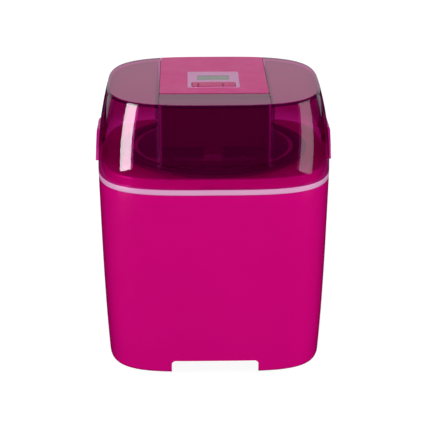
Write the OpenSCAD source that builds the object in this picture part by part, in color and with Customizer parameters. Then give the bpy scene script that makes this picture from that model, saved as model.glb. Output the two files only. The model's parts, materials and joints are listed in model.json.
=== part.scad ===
// Ice cream maker: a housing holds a lift-out freezer bowl under a clear lid.
// A motor unit drops into a channel in the lid and turns the mixing paddle.
// A flap in front of the motor unit opens for pouring in the mix.
// Origin: centre of the footprint, at the underside of the feet. The front faces -Y.

/* [Outline] */
// Width over the trim ring
overall_w = 220; // [216:1:226]
// Depth over the trim ring
overall_d = 194; // [192:1:198]
// Height of the top face
overall_h = 266; // [264:1:270]
// Height of the seam between the housing and the lid
seam_z = 190; // [188:1:191]
// Height of the light trim ring below the seam
ring_h = 5.2; // [4:0.1:7]
// Thickness of the moulded walls
wall_t = 2.8; // [2.4:0.1:3.2]
// Width of the foot arch in the front and back of the skirt
arch_w = 83; // [60:1:90]
// Height of the foot arch above the table
arch_h = 13.8; // [8:0.1:14]

/* [Lid] */
// Width of the channel that holds the motor unit and the flap
channel_w = 102; // [98:1:104]
// Height of the channel floor
floor_z = 212; // [211:0.5:213]
// Width of each side latch
latch_w = 34; // [24:1:40]

/* [Control panel] */
// Distance from the centre to the front edge of the motor unit
panel_front = 44.5; // [43:0.5:48]
// Width of the bezel round the display
bezel_w = 49; // [46:1:52]
// Depth of the bezel round the display
bezel_d = 53; // [48:1:54]
// Width of the display window
lcd_w = 30.6; // [24:0.2:36]
// Width of the row of buttons
button_row_w = 41; // [36:1:44]
// Depth of each button
button_d = 13.9; // [12:0.1:16]
// How far each button goes down
button_travel = 0.8; // [0.4:0.1:1]

/* [Bowl and paddle] */
// Inner radius of the bowl at its rim
bowl_r = 73; // [70:0.5:74]
// Inner height of the bowl
bowl_h = 135; // [125:1:138]
// Reach of the paddle from its axis
paddle_r = 61; // [52:1:62]

/* [Drive] */
// Teeth of the output gear
output_teeth = 48; // [48:2:48]
// Teeth of the small wheel of the idler
idler_small_teeth = 14; // [14:2:14]
// Teeth of the large wheel of the idler
idler_large_teeth = 40; // [40:2:40]
// Teeth of the motor pinion
pinion_teeth = 12; // [12:2:12]

/* [Hidden] */

$fn = 48;
facets = 64;          // points round each outline
big = 400;            // longer than the whole object
part_gap = 0.3;       // space between faces of different moving parts
run_fit = 0.05;       // radial play of a shaft in its hole

ring_low = seam_z - ring_h - 0.2;
skirt_z = 1.2;        // the skirt stands clear of the table, on the rubber feet
edge_r = 2.6;         // rounding of the lid's top edge

// Exponents of the rounded-square outlines: 2 is an ellipse, higher is squarer
base_n = 4.2;
ring_n = 3.75;
top_n = 3.3;

// The housing narrows to its foot, and the lid to its top
side_draft = 0.022;
front_draft = 0.016;
foot_tuck = 2.8;
lid_in_w = 10.3;
lid_in_d = 13;
lid_curve = 2.2;
tuck_curve = 3.3;

function body_t(z) = (ring_low - z) / ring_low;
function body_a(z) = overall_w / 2 - side_draft * (ring_low - z) - foot_tuck * pow(body_t(z), tuck_curve);
function body_b(z) = overall_d / 2 - front_draft * (ring_low - z) - foot_tuck * pow(body_t(z), tuck_curve);
function body_n(z) = ring_n + (base_n - ring_n) * body_t(z);
function body_ring(z, inset) = [z, body_a(z) - inset, body_b(z) - inset, body_n(z)];

function lid_t(z) = max(0, z - seam_z) / (overall_h - seam_z);
function lid_a(z) = overall_w / 2 - lid_in_w * pow(lid_t(z), lid_curve);
function lid_b(z) = overall_d / 2 - lid_in_d * pow(lid_t(z), lid_curve);
function lid_n(z) = ring_n + (top_n - ring_n) * lid_t(z);
function lid_ring(z, inset) = [z, lid_a(z) - inset, lid_b(z) - inset, lid_n(z)];

function seam_ring(z, inset) = [z, overall_w / 2 - inset, overall_d / 2 - inset, ring_n];

// One rounded-square outline
function plan(a, b, n) = [
  for (i = [0:facets - 1])
    let (t = 360 * i / facets, c = cos(t), s = sin(t))
      [a * sign(c) * pow(abs(c), 2 / n), b * sign(s) * pow(abs(s), 2 / n)]
];

function reversed(list) = [for (i = [len(list) - 1:-1:0]) list[i]];

function ring_points(rings) = [
  for (r = rings) each [for (p = plan(r[1], r[2], r[3])) [p[0], p[1], r[0]]]
];

function band(k, m) = [
  for (i = [0:facets - 1])
    let (j = (i + 1) % facets, lo = k * facets, hi = m * facets)
      each [[lo + i, hi + i, hi + j], [lo + i, hi + j, lo + j]]
];

// A closed solid through rings of [height, half width, half depth, exponent], capped at both ends
module loft(rings) {
  last = len(rings) - 1;
  sides = [for (k = [0:last - 1]) each band(k, k + 1)];
  first_cap = [for (i = [0:facets - 1]) i];
  last_cap = [for (i = [facets - 1:-1:0]) last * facets + i];
  polyhedron(points = ring_points(rings), faces = concat(sides, [first_cap, last_cap]), convexity = 6);
}

// A closed band through rings that run down the inside and up the outside
module sleeve(rings) {
  count = len(rings);
  sides = [for (k = [0:count - 1]) each band(k, (k + 1) % count)];
  polyhedron(points = ring_points(rings), faces = sides, convexity = 6);
}

// Rings of the lid's outer form from height low to the top, moved in by inset
function lid_rings(inset, low, steps = 7) =
  let (shoulder = overall_h - inset - edge_r)
    concat(
      [for (i = [0:steps]) lid_ring(low + (shoulder - low) * i / steps, inset)],
      [for (a = [30:30:90])
        let (r = lid_ring(shoulder, inset + edge_r * (1 - cos(a))))
          [shoulder + edge_r * sin(a), r[1], r[2], r[3]]]
    );

// The channel down the middle of the lid, which tapers slightly to its floor
channel_draft = 0.026;
function channel_x(z) = channel_w / 2 - channel_draft * (overall_h - z);

module channel_block(grow, z0, z1, y0, y1) {
  translate([0, y1, 0])
    rotate([90, 0, 0])
      linear_extrude(y1 - y0)
        polygon([
          [-channel_x(z0) - grow, z0], [channel_x(z0) + grow, z0],
          [channel_x(z1) + grow, z1], [-channel_x(z1) - grow, z1]
        ]);
}

module at_corners(x, y) {
  for (sx = [-1, 1], sy = [-1, 1])
    translate([sx * x, sy * y, 0])
      children();
}

module rod(r, z0, z1) {
  translate([0, 0, z0])
    cylinder(r = r, h = z1 - z0);
}

module block(x0, x1, y0, y1, z0, z1) {
  translate([x0, y0, z0])
    cube([x1 - x0, y1 - y0, z1 - z0]);
}

module rod_x(r, x0, x1) {
  translate([x0, 0, 0])
    rotate([0, 90, 0])
      cylinder(r = r, h = x1 - x0);
}

module rod_y(r, y0, y1) {
  translate([0, y1, 0])
    rotate([90, 0, 0])
      cylinder(r = r, h = y1 - y0);
}

// Points along a circular arc
function arc(cx, cy, r, a0, a1, steps = 6) = [
  for (i = [0:steps])
    let (a = a0 + (a1 - a0) * i / steps)
      [cx + r * cos(a), cy + r * sin(a)]
];

// ---- Housing ----

base_z = 15;
base_t = 2.5;
foot_x = 76;
foot_y = 67;
column_x = 50;
column_y = 45;
well_floor_z = 47.5;
well_r = 84.5;
well_t = 2.1;
deck_z = 198.6;
deck_t = 3;
collar_inset = 4.4;
boss_z = 35;

module foot_arch() {
  r = 4;
  half = arch_w / 2;
  translate([0, big / 2, 0])
    rotate([90, 0, 0])
      linear_extrude(big)
        polygon(concat(
          [[-half, -1], [half, -1]],
          arc(half - r, arch_h - r, r, 0, 90),
          arc(r - half, arch_h - r, r, 90, 180)
        ));
}

module housing_shell() {
  heights = [18, 60, 105, 145, 170, ring_low];
  inside = [for (z = concat([skirt_z], heights)) body_ring(z, wall_t)];
  foot = [
    body_ring(skirt_z, 1.9),
    body_ring(skirt_z + 0.6, 0.8),
    body_ring(skirt_z + 2, 0.1),
    body_ring(skirt_z + 3.4, 0)
  ];
  color("mediumvioletred")
    difference() {
      sleeve(concat(reversed(inside), foot, [for (z = heights) body_ring(z, 0)]));
      foot_arch();
    }
}

module trim_ring() {
  soft = 0.6;
  inner = collar_inset - 0.1;
  top = ring_low + ring_h;
  color("plum")
    sleeve([
      seam_ring(top, inner), seam_ring(ring_low, inner), seam_ring(ring_low, soft),
      seam_ring(ring_low + soft, 0), seam_ring(top - soft, 0), seam_ring(top, soft)
    ]);
}

module bowl_collar() {
  low = 176;
  notch_w = 34;
  inside = collar_inset + wall_t;
  color("deeppink")
    difference() {
      loft([
        seam_ring(deck_z - deck_t, inside), seam_ring(low, inside), seam_ring(low, collar_inset),
        seam_ring(deck_z - 1, collar_inset), seam_ring(deck_z - 0.3, collar_inset + 0.3),
        seam_ring(deck_z, collar_inset + 1)
      ]);
      rod(well_r + well_t + 0.2, low - 1, deck_z + 1);
      block(-notch_w / 2, notch_w / 2, -overall_d / 2, -overall_d / 2 + collar_inset + 1.1, seam_z, seam_z + 2.4);
    }
}

module bowl_well() {
  flange_r = 89.3;
  top = deck_z - deck_t;
  floor_top = well_floor_z + 2.5;
  color("whitesmoke")
    difference() {
      union() {
        rotate_extrude($fn = 96)
          polygon([
            [0, well_floor_z], [well_r + well_t, well_floor_z], [well_r + well_t, top - 2.2],
            [flange_r, top - 2.2], [flange_r, top], [well_r, top], [well_r, floor_top], [0, floor_top]
          ]);
        block(-30, 30, -3, 3, floor_top - 0.5, floor_top + 3);
        at_corners(column_x, column_y)
          rod(5, boss_z, well_floor_z + 0.5);
      }
      at_corners(column_x, column_y)
        rod(1.5, boss_z - 1, 46);
    }
}

module base_plate() {
  z1 = base_z + base_t;
  color("dimgray")
    difference() {
      union() {
        translate([0, 0, base_z])
          linear_extrude(base_t)
            polygon(plan(body_a(base_z) - wall_t - 0.4, body_b(base_z) - wall_t - 0.4, base_n));
        at_corners(column_x, column_y)
          rod(6, z1 - 0.5, boss_z);
      }
      at_corners(column_x, column_y) {
        rod(1.9, base_z - 1, boss_z + 1);
        rod(4, base_z - 1, base_z + 6);
      }
    }
}

module base_screws() {
  color("silver")
    at_corners(column_x, column_y) {
      rod(3.4, base_z + 2.8, base_z + 6);
      rod(1.5, base_z + 5, 45);
    }
}

module rubber_feet() {
  color("black")
    at_corners(foot_x, foot_y)
      rotate_extrude()
        polygon([[0, 0], [7, 0], [8, 1], [8, base_z], [0, base_z]]);
}

// ---- Freezer bowl ----

rim_z = 201.4;
flange_z = deck_z + part_gap;
cup_floor_z = rim_z - bowl_h;
cup_t = 1.5;
cup_corner = 16;
jacket_z = 50.4;
jacket_floor_z = 56;
jacket_r = 82.3;
cup_taper = 0.05;

// The bowl's inner outline moved out by grow, from its floor centre to its rim
function cup_side(grow) =
  let (low_r = bowl_r - cup_taper * bowl_h + grow)
    concat(
      [[0, cup_floor_z - grow]],
      arc(low_r - cup_corner, cup_floor_z + cup_corner, cup_corner + grow * 0.9, -90, 0, 8)
    );

module bowl_cup() {
  lip_r = 80;
  color("silver")
    rotate_extrude($fn = 96)
      polygon(concat(
        cup_side(cup_t),
        [[bowl_r + cup_t, rim_z - cup_t], [lip_r, rim_z - cup_t], [lip_r, rim_z], [bowl_r, rim_z]],
        reversed(cup_side(0))
      ));
}

module bowl_jacket() {
  inner = jacket_r - 2.2;
  color("purple")
    difference() {
      rotate_extrude($fn = 96)
        polygon([
          [0, jacket_z], [78, jacket_z], [79.6, jacket_z + 2], [jacket_r, flange_z], [89.5, flange_z],
          [89.5, rim_z], [inner, rim_z], [inner - 2.6, jacket_floor_z], [0, jacket_floor_z]
        ]);
      block(-31, 31, -3.4, 3.4, jacket_z - 1, jacket_z + 3.3);
    }
}

module coolant_gel() {
  color("lightblue")
    rotate_extrude($fn = 96)
      polygon(concat(
        [[0, jacket_floor_z + 0.3], [76.8, jacket_floor_z + 0.3], [79, rim_z - 12], [bowl_r + cup_t + 0.4, rim_z - 12]],
        reversed(cup_side(cup_t + 0.4))
      ));
}

module bowl_rim_seal() {
  color("dimgray")
    rotate_extrude($fn = 96)
      polygon(concat(
        [[77, rim_z], [83, rim_z]],
        arc(82, rim_z + 0.4, 1, 0, 90, 4),
        arc(78, rim_z + 0.4, 1, 90, 180, 4)
      ));
}

// ---- Lid ----

floor_t = 3;
channel_t = 3.2;
hinge_r = 2.8;
hinge_y = -panel_front - 3.4;
hinge_z = overall_h - hinge_r;
hinge_pin_r = 1.25;
hinge_pin_in = 46;    // where each pin ends inside the barrel
hinge_pin_out = channel_w / 2 + 2.4;
lid_low = seam_z + 0.1;
drive_r = 12;
hub_r = 9;
latch_x = 105.6;
latch_z = 214;
latch_low = 191.4;
latch_top = 224;
latch_face = 112;
latch_pin_r = 1.5;

module each_latch() {
  for (side = [-1, 1])
    translate([side * latch_x, 0, latch_z])
      children();
}

module lid_walls() {
  difference() {
    union() {
      loft(concat(reversed(lid_rings(wall_t, lid_low, 6)), lid_rings(0, lid_low)));
      intersection() {
        loft(lid_rings(0.8, lid_low + 2));
        channel_block(channel_t, floor_z - floor_t, overall_h + 1, -overall_d, overall_d);
      }
    }
    channel_block(0, floor_z, overall_h + 2, -overall_d, overall_d);
    block(-38, 38, -79, -53, floor_z - 9, floor_z + 9);
    for (side = [0, 1])
      mirror([side, 0, 0])
        block(98, big / 2, -latch_w / 2 - 0.5, latch_w / 2 + 0.5, lid_low - 1, latch_top + 1.2);
  }
}

module lid_shell() {
  boss_y = latch_w / 2 + 0.5;
  color("darkmagenta", 0.6)
    difference() {
      union() {
        lid_walls();
        each_latch() {
          rod_y(3.3, boss_y, boss_y + 5);
          rod_y(3.3, -boss_y - 5, -boss_y);
        }
      }
      each_latch()
        rod_y(latch_pin_r, -boss_y - 4, boss_y + 4);
      rod(drive_r, floor_z - 9, floor_z + 9);
      translate([0, hinge_y, hinge_z])
        rod_x(hinge_pin_r, -hinge_pin_out, hinge_pin_out);
    }
}

module drive_bush() {
  color("ivory")
    rotate_extrude()
      polygon([
        [hub_r + run_fit, floor_z - floor_t - 1], [drive_r, floor_z - floor_t - 1], [drive_r, floor_z],
        [drive_r + 2, floor_z], [drive_r + 2, floor_z + 1], [hub_r + run_fit, floor_z + 1]
      ]);
}

module flap_pins() {
  color("silver")
    translate([0, hinge_y, hinge_z]) {
      rod_x(hinge_pin_r, -hinge_pin_out, -hinge_pin_in);
      rod_x(hinge_pin_r, hinge_pin_in, hinge_pin_out);
    }
}

module latch_pins() {
  outer = latch_w / 2 + 4.5;
  color("silver")
    each_latch() {
      rod_y(latch_pin_r, latch_w / 2 - 6, outer);
      rod_y(latch_pin_r, -outer, 6 - latch_w / 2);
    }
}

module filler_flap() {
  play = 0.4;
  low = floor_z + 0.6;
  web_t = 1.8;
  web_depth = 16;
  color("darkmagenta", 0.6)
    difference() {
      union() {
        intersection() {
          loft(concat(reversed(lid_rings(wall_t - 0.2, lid_low + 5, 6)), lid_rings(0, lid_low + 5)));
          channel_block(-play, low, overall_h + 1, -overall_d, hinge_y);
        }
        intersection() {
          loft(lid_rings(1, lid_low + 5));
          difference() {
            channel_block(-play, low, overall_h - 5, -overall_d, -overall_d / 2 + web_depth);
            channel_block(-play - web_t, low - 1, overall_h, -overall_d, overall_d);
          }
        }
        translate([0, hinge_y, hinge_z])
          rod_x(hinge_r, -channel_w / 2 + 1.2, channel_w / 2 - 1.2);
      }
      translate([0, hinge_y, hinge_z])
        for (side = [0, 1])
          mirror([side, 0, 0])
            rod_x(hinge_pin_r + run_fit, hinge_pin_in - 1, channel_w / 2 + 1);
    }
}

// One side latch: a rocker with a flat outer face and a finger ridge at its foot
module latch(side) {
  thick = latch_face - latch_x;
  low = latch_low - latch_z;
  top = latch_top - latch_z;
  r = 3.6;
  half = latch_w / 2;
  color("darkmagenta", 0.6)
    translate([side * latch_x, 0, latch_z])
      mirror([side < 0 ? 1 : 0, 0, 0])
        difference() {
          union() {
            translate([0, half, 0])
              rotate([90, 0, 0])
                linear_extrude(latch_w)
                  polygon(concat(
                    [[0.9, low], [thick, low]],
                    arc(thick - r, top - r, r, 0, 90, 5),
                    [[0.6, top], [0.2, 4], [0.2, -4]]
                  ));
            rod_y(2.7, -half, half);
          }
          rod_y(latch_pin_r + run_fit, -half - 1, half + 1);
        }
}

module latch_left() {
  latch(-1);
}

module latch_right() {
  latch(1);
}

// ---- Mixing paddle ----

dog_w = 5.6;
dog_play = 0.4;
paddle_low = cup_floor_z + 4;
paddle_play = 2.5;    // space between the paddle and the bowl's wall
paddle_top = 186;
bar_h = 7;

module blade(x, turn, length, thick) {
  translate([x, 0, paddle_low])
    rotate([0, 0, turn])
      translate([-thick / 2, -length / 2, 0])
        cube([thick, length, paddle_top - paddle_low]);
}

// The space that the paddle sweeps, a little inside the bowl's wall
module paddle_sweep() {
  rotate_extrude($fn = 96)
    polygon(concat(cup_side(-paddle_play), [[bowl_r - paddle_play, rim_z], [0, rim_z]]));
}

module mixing_paddle() {
  socket = dog_w + dog_play;
  bar_x = paddle_r - 5;
  color("white")
    difference() {
      union() {
        rod(hub_r, paddle_top - 8, floor_z + 0.6);
        block(-bar_x, bar_x, -4.5, 4.5, paddle_top - bar_h, paddle_top);
        intersection() {
          union() {
            block(-bar_x, bar_x, -4, 4, paddle_low, paddle_low + bar_h);
            for (side = [-1, 1]) {
              blade(side * bar_x, 40, 14, 3.2);
              blade(side * 26, -35, 18, 3);
            }
          }
          paddle_sweep();
        }
      }
      block(-socket / 2, socket / 2, -socket / 2, socket / 2, paddle_top + 14, floor_z + 2);
    }
}

// ---- Motor unit ----

unit_play = 0.4;
unit_z = floor_z + 1.4;
unit_floor_t = 2.6;
unit_wall = 2.6;
panel_z = overall_h - 3.2;
cover_x = 42;
cover_front = -39;
cover_back = 68;
gland_z = 243;
gland_r = 5.2;
cord_plate_x = 13;
cord_plate_z = 232;

module at_cover_screws() {
  for (x = [-cover_x, cover_x], y = [cover_front, cover_back])
    translate([x, y, 0])
      children();
}

module motor_housing() {
  boss_r = 3.6;
  floor_top = unit_z + unit_floor_t;
  color("mediumvioletred")
    difference() {
      intersection() {
        loft(lid_rings(0, lid_low + 5));
        channel_block(-unit_play, unit_z, panel_z, -panel_front, overall_d);
      }
      difference() {
        intersection() {
          loft(lid_rings(unit_wall, lid_low + 5));
          channel_block(-unit_play - 2.2, floor_top, overall_h, 2.2 - panel_front, overall_d);
        }
        at_cover_screws()
          rod(boss_r, unit_z, panel_z);
      }
      at_cover_screws() {
        rod(1.7, unit_z - 1, panel_z + 1);
        rod(3, unit_z - 1, unit_z + 10);
      }
      rod(7, unit_z - 1, floor_top + 1);
      block(-cord_plate_x, cord_plate_x, 60, big / 2, cord_plate_z, panel_z + 1);
    }
}

// Closes the notch in the back wall from above, with a lip behind the wall
module cord_plate() {
  gap = 0.1;
  lip = 3;
  lip_inset = unit_wall + gap + 1.7;
  lip_top_y = 80.5;
  half = cord_plate_x + lip;
  color("mediumvioletred")
    difference() {
      intersection() {
        loft(lid_rings(0, lid_low + 5));
        union() {
          block(gap - cord_plate_x, cord_plate_x - gap, 60, overall_d, cord_plate_z + gap, panel_z - gap);
          intersection() {
            loft(lid_rings(unit_wall + gap, lid_low + 5));
            block(-half, half, 60, overall_d, cord_plate_z - lip, panel_z - gap);
          }
        }
      }
      loft(lid_rings(lip_inset, lid_low + 5));
      block(-half - 1, half + 1, 50, lip_top_y, overall_h - 10, overall_h);
      translate([0, 0, gland_z])
        rod_y(gland_r, 60, big / 2);
    }
}

module at_board_posts() {
  for (x = [-board_post_x, board_post_x], y = [board_front + 4, board_back - 4])
    translate([x, y, 0])
      children();
}

module control_panel() {
  color("mediumvioletred")
    difference() {
      union() {
        intersection() {
          loft(lid_rings(0, lid_low + 5));
          channel_block(-unit_play, panel_z, overall_h + 1, -panel_front, overall_d);
        }
        at_board_posts()
          rod(2.8, board_top, panel_z + 0.5);
        at_cover_screws()
          rod(1.6, panel_z - 3, panel_z + 0.5);
      }
      block(-bezel_w / 2, bezel_w / 2, -bezel_d / 2, bezel_d / 2, panel_z - 1, overall_h + 1);
      at_cover_screws()
        rod(0.9, panel_z - 4, panel_z + 1.5);
      at_board_posts()
        rod(1, board_top - 1, board_top + 7);
    }
}

lcd_front = -2.2;
lcd_back = 14.4;
button_y = -17.7;
button_lip = 1.1;
// Left and right edges of the buttons, as shares of the row
button_edges = [-0.5, -0.354, 0.21, 0.5];
function button_x0(i) = button_edges[i] * button_row_w + 0.25;
function button_x1(i) = button_edges[i + 1] * button_row_w - 0.25;
function button_mid(i) = (button_x0(i) + button_x1(i)) / 2;

bezel_top = overall_h + 0.3;
bezel_z = panel_z;

module panel_bezel() {
  slot_w = button_row_w + 0.3;
  slot_d = button_d + 0.6;
  color("plum")
    difference() {
      block(-bezel_w / 2, bezel_w / 2, -bezel_d / 2, bezel_d / 2, bezel_z, bezel_top);
      block(-lcd_w / 2, lcd_w / 2, lcd_front, lcd_back, bezel_z - 1, bezel_top + 1);
      block(-slot_w / 2, slot_w / 2, button_y - slot_d / 2, button_y + slot_d / 2, bezel_z - 1, bezel_top + 1);
    }
}

module lcd_lens() {
  color("darkseagreen")
    block(-lcd_w / 2, lcd_w / 2, lcd_front, lcd_back, bezel_z, bezel_top - 0.3);
}

board_top = 253.6;
board_t = 1.6;
board_front = -36;
board_back = 21;
board_post_x = 28;

module lcd_module() {
  color("dimgray")
    block(-lcd_w / 2 - 3, lcd_w / 2 + 3, lcd_front - 3, lcd_back + 3, board_top, bezel_z);
}

module circuit_board() {
  color("seagreen")
    difference() {
      block(-32, 32, board_front, board_back, board_top - board_t, board_top);
      at_board_posts()
        rod(1.1, board_top - board_t - 1, board_top + 1);
    }
}

module board_screws() {
  color("silver")
    at_board_posts() {
      rod(2.2, board_top - board_t - 1.6, board_top - board_t);
      rod(1, board_top - board_t - 0.5, board_top + 5);
    }
}

switch_top = board_top + 1.5;
stem_low = 258.4;
cap_top = overall_h + 0.9;
lip_top = bezel_z - part_gap;

module tact_switches() {
  color("dimgray")
    for (i = [0:2])
      block(button_mid(i) - 2.6, button_mid(i) + 2.6, button_y - 3, button_y + 3, board_top, switch_top);
}

module dome(i) {
  color("lightgray")
    translate([button_mid(i), button_y, 0])
      rotate_extrude()
        polygon([[0, switch_top], [2.4, switch_top], [1.5, stem_low - 0.1], [0, stem_low - 0.1]]);
}

module dome_left() {
  dome(0);
}

module dome_middle() {
  dome(1);
}

module dome_right() {
  dome(2);
}

module button(i) {
  half_d = button_d / 2;
  color("mediumvioletred")
    union() {
      block(button_x0(i), button_x1(i), button_y - half_d, button_y + half_d, lip_top - 1.6, cap_top);
      block(
        button_x0(i), button_x1(i), button_y - half_d - button_lip, button_y + half_d + button_lip,
        lip_top - 1.6, lip_top
      );
      translate([button_mid(i), button_y, 0])
        rod(1.6, stem_low, lip_top - 1);
    }
}

module button_left() {
  button(0);
}

module button_middle() {
  button(1);
}

module button_right() {
  button(2);
}

// ---- Gear train ----

gear_module = 0.8;
pressure = 25;
backlash = 0.12;      // taken off each tooth's thickness
addendum = 0.9;       // in modules
dedendum = 1.15;      // in modules

function pitch_r(teeth) = gear_module * teeth / 2;
function involute(a) = tan(a) * 180 / PI - a;
function polar(r, a) = [r * cos(a), r * sin(a)];

function gear_points(teeth) =
  let (
    rp = pitch_r(teeth),
    base_r = rp * cos(pressure),
    tip_r = rp + addendum * gear_module,
    root_r = rp - dedendum * gear_module,
    start_r = max(base_r, root_r),
    half = 90 / teeth - backlash / rp * 90 / PI,
    steps = 4,
    radii = [for (i = [0:steps]) start_r + (tip_r - start_r) * i / steps],
    flank = [for (r = radii) [r, half + involute(pressure) - involute(acos(min(1, base_r / r)))]],
    side = concat([[min(root_r, start_r - 0.01), flank[0][1]]], flank)
  )
    [
      for (k = [0:teeth - 1])
        let (mid = 360 * k / teeth)
          each concat(
            [for (p = side) polar(p[0], mid - p[1])],
            [for (p = reversed(side)) polar(p[0], mid + p[1])]
          )
    ];

module gear(teeth, z0, z1, turn = 0) {
  translate([0, 0, z0])
    rotate([0, 0, turn])
      linear_extrude(z1 - z0)
        polygon(gear_points(teeth));
}

idler_y = pitch_r(output_teeth) + pitch_r(idler_small_teeth);
motor_y = idler_y + pitch_r(idler_large_teeth) + pitch_r(pinion_teeth);
shaft_r = 4;
axle_r = 2;
motor_shaft_r = 1.5;
unit_floor_z = unit_z + unit_floor_t;
low_gear_z = 222;
high_gear_z = 230;
plate_z = 236;
plate_t = 2;
motor_z = plate_z + plate_t;
motor_top = 259;
motor_r = 19;
post_x = 21.5;
post_front = -19;
post_back = motor_y + 17;

module at_posts() {
  for (x = [-post_x, post_x], y = [post_front, post_back])
    translate([x, y, 0])
      children();
}

module gear_plate() {
  color("gray")
    difference() {
      union() {
        block(-25, 25, post_front - 4, post_back + 4, plate_z, motor_z);
        at_posts()
          rod(3.2, unit_floor_z, plate_z + 0.5);
      }
      at_posts()
        rod(1.2, unit_floor_z - 1, motor_z + 1);
      rod(shaft_r + run_fit, plate_z - 1, motor_z + 1);
      translate([0, idler_y, 0])
        rod(axle_r, plate_z - 1, motor_z + 1);
      translate([0, motor_y, 0])
        rod(3, plate_z - 1, motor_z + 1);
    }
}

module plate_screws() {
  color("silver")
    at_posts() {
      rod(2.4, motor_z, motor_z + 1.8);
      rod(1.2, plate_z - 8, motor_z + 0.5);
    }
}

module idler_axle() {
  color("silver")
    translate([0, idler_y, 0])
      rod(axle_r, unit_floor_z, motor_z);
}

module output_bush() {
  inner = shaft_r + run_fit;
  color("goldenrod")
    rotate_extrude()
      polygon([
        [inner, unit_z], [7, unit_z], [7, unit_floor_z], [9, unit_floor_z],
        [9, unit_floor_z + 1.5], [6.4, unit_floor_z + 1.5], [6.4, low_gear_z - 2.5], [inner, low_gear_z - 2.5]
      ]);
}

module output_shaft() {
  half = dog_w / 2;
  dog_low = paddle_top + 16;
  color("silver")
    union() {
      rod(shaft_r, unit_z + 0.2, motor_z);
      block(-half, half, -half, half, dog_low, unit_z + 1);
    }
}

module output_gear() {
  color("ivory")
    difference() {
      union() {
        gear(output_teeth, low_gear_z, low_gear_z + 6);
        rod(8, low_gear_z - 2, low_gear_z + 7.4);
      }
      rod(shaft_r, low_gear_z - 3, low_gear_z + 9);
    }
}

module idler_gear() {
  color("ivory")
    translate([0, idler_y, 0])
      difference() {
        union() {
          gear(idler_small_teeth, low_gear_z - 0.5, high_gear_z + 0.5);
          gear(idler_large_teeth, high_gear_z, high_gear_z + 4);
          rod(4, high_gear_z + 3, plate_z - 0.5);
        }
        rod(axle_r + run_fit, low_gear_z - 2, plate_z + 1);
      }
}

module motor_can() {
  color("gray")
    translate([0, motor_y, 0])
      rotate_extrude()
        polygon([
          [motor_shaft_r + run_fit, motor_z], [motor_r, motor_z], [motor_r, motor_top], [0, motor_top],
          [0, motor_top - 1.5], [motor_r - 1, motor_top - 1.5], [motor_r - 1, motor_z + 2],
          [motor_shaft_r + run_fit, motor_z + 2]
        ]);
}

module motor_coil() {
  color("peru")
    translate([0, motor_y, 0])
      rotate_extrude()
        polygon([[10.4, motor_z + 2.5], [17.4, motor_z + 2.5], [17.4, motor_top - 2], [10.4, motor_top - 2]]);
}

module motor_rotor() {
  color("dimgray")
    translate([0, motor_y, 0])
      difference() {
        rod(9.6, motor_z + 3.5, motor_top - 4);
        rod(motor_shaft_r, motor_z + 2, motor_top - 3);
      }
}

module motor_shaft() {
  color("silver")
    translate([0, motor_y, 0])
      rod(motor_shaft_r, high_gear_z - 1, motor_top - 2.5);
}

module motor_pinion() {
  half_tooth = 180 / pinion_teeth;
  color("goldenrod")
    translate([0, motor_y, 0])
      difference() {
        gear(pinion_teeth, high_gear_z - 0.5, high_gear_z + 4.8, half_tooth);
        rod(motor_shaft_r, high_gear_z - 2, high_gear_z + 6);
      }
}

module cover_screws() {
  color("silver")
    at_cover_screws() {
      rod(2.8, unit_z + 7, unit_z + 10);
      rod(0.9, unit_z + 9, panel_z + 1);
    }
}

module cord_gland() {
  flange_y = 92.9;
  color("dimgray")
    translate([0, 0, gland_z])
      difference() {
        union() {
          rod_y(gland_r, 80, flange_y + 0.2);
          rod_y(7.5, flange_y, overall_d / 2 - 0.6);
        }
        rod_y(3.25, 79, overall_d);
      }
}

housing_shell();
trim_ring();
bowl_collar();
bowl_well();
base_plate();
base_screws();
rubber_feet();
bowl_cup();
bowl_jacket();
coolant_gel();
bowl_rim_seal();
lid_shell();
drive_bush();
flap_pins();
latch_pins();
filler_flap();
latch_left();
latch_right();
mixing_paddle();
motor_housing();
control_panel();
panel_bezel();
lcd_lens();
lcd_module();
circuit_board();
board_screws();
tact_switches();
dome_left();
dome_middle();
dome_right();
button_left();
button_middle();
button_right();
gear_plate();
plate_screws();
idler_axle();
output_bush();
output_shaft();
output_gear();
idler_gear();
motor_can();
motor_coil();
motor_rotor();
motor_shaft();
motor_pinion();
cover_screws();
cord_plate();
cord_gland();
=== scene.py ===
"""Looks for the ice cream maker: smooth shells, clear lid, procedural plastics, studio and camera.

Lengths inside the shape functions are millimetres in the CAD frame; mesh_object() turns them into metres.
"""
import json
import math

import bmesh
import bpy
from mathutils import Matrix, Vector


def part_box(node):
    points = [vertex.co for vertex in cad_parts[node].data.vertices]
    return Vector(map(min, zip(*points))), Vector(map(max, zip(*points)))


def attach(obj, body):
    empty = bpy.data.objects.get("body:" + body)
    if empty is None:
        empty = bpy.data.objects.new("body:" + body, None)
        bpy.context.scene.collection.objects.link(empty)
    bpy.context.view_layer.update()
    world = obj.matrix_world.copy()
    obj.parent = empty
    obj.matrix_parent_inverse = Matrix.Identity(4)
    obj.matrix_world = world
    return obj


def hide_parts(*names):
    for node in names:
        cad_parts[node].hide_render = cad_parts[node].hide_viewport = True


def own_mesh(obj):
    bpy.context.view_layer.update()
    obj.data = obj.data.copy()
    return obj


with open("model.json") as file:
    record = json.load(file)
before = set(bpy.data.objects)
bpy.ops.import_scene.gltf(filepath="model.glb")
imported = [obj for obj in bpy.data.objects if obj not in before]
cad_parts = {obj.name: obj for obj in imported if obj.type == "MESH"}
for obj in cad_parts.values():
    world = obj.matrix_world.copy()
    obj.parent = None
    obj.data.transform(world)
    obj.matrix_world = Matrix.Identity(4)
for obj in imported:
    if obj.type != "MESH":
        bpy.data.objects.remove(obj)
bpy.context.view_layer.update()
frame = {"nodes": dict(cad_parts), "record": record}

MM = 0.001
ROUND = 256  # points round each outline


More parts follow.
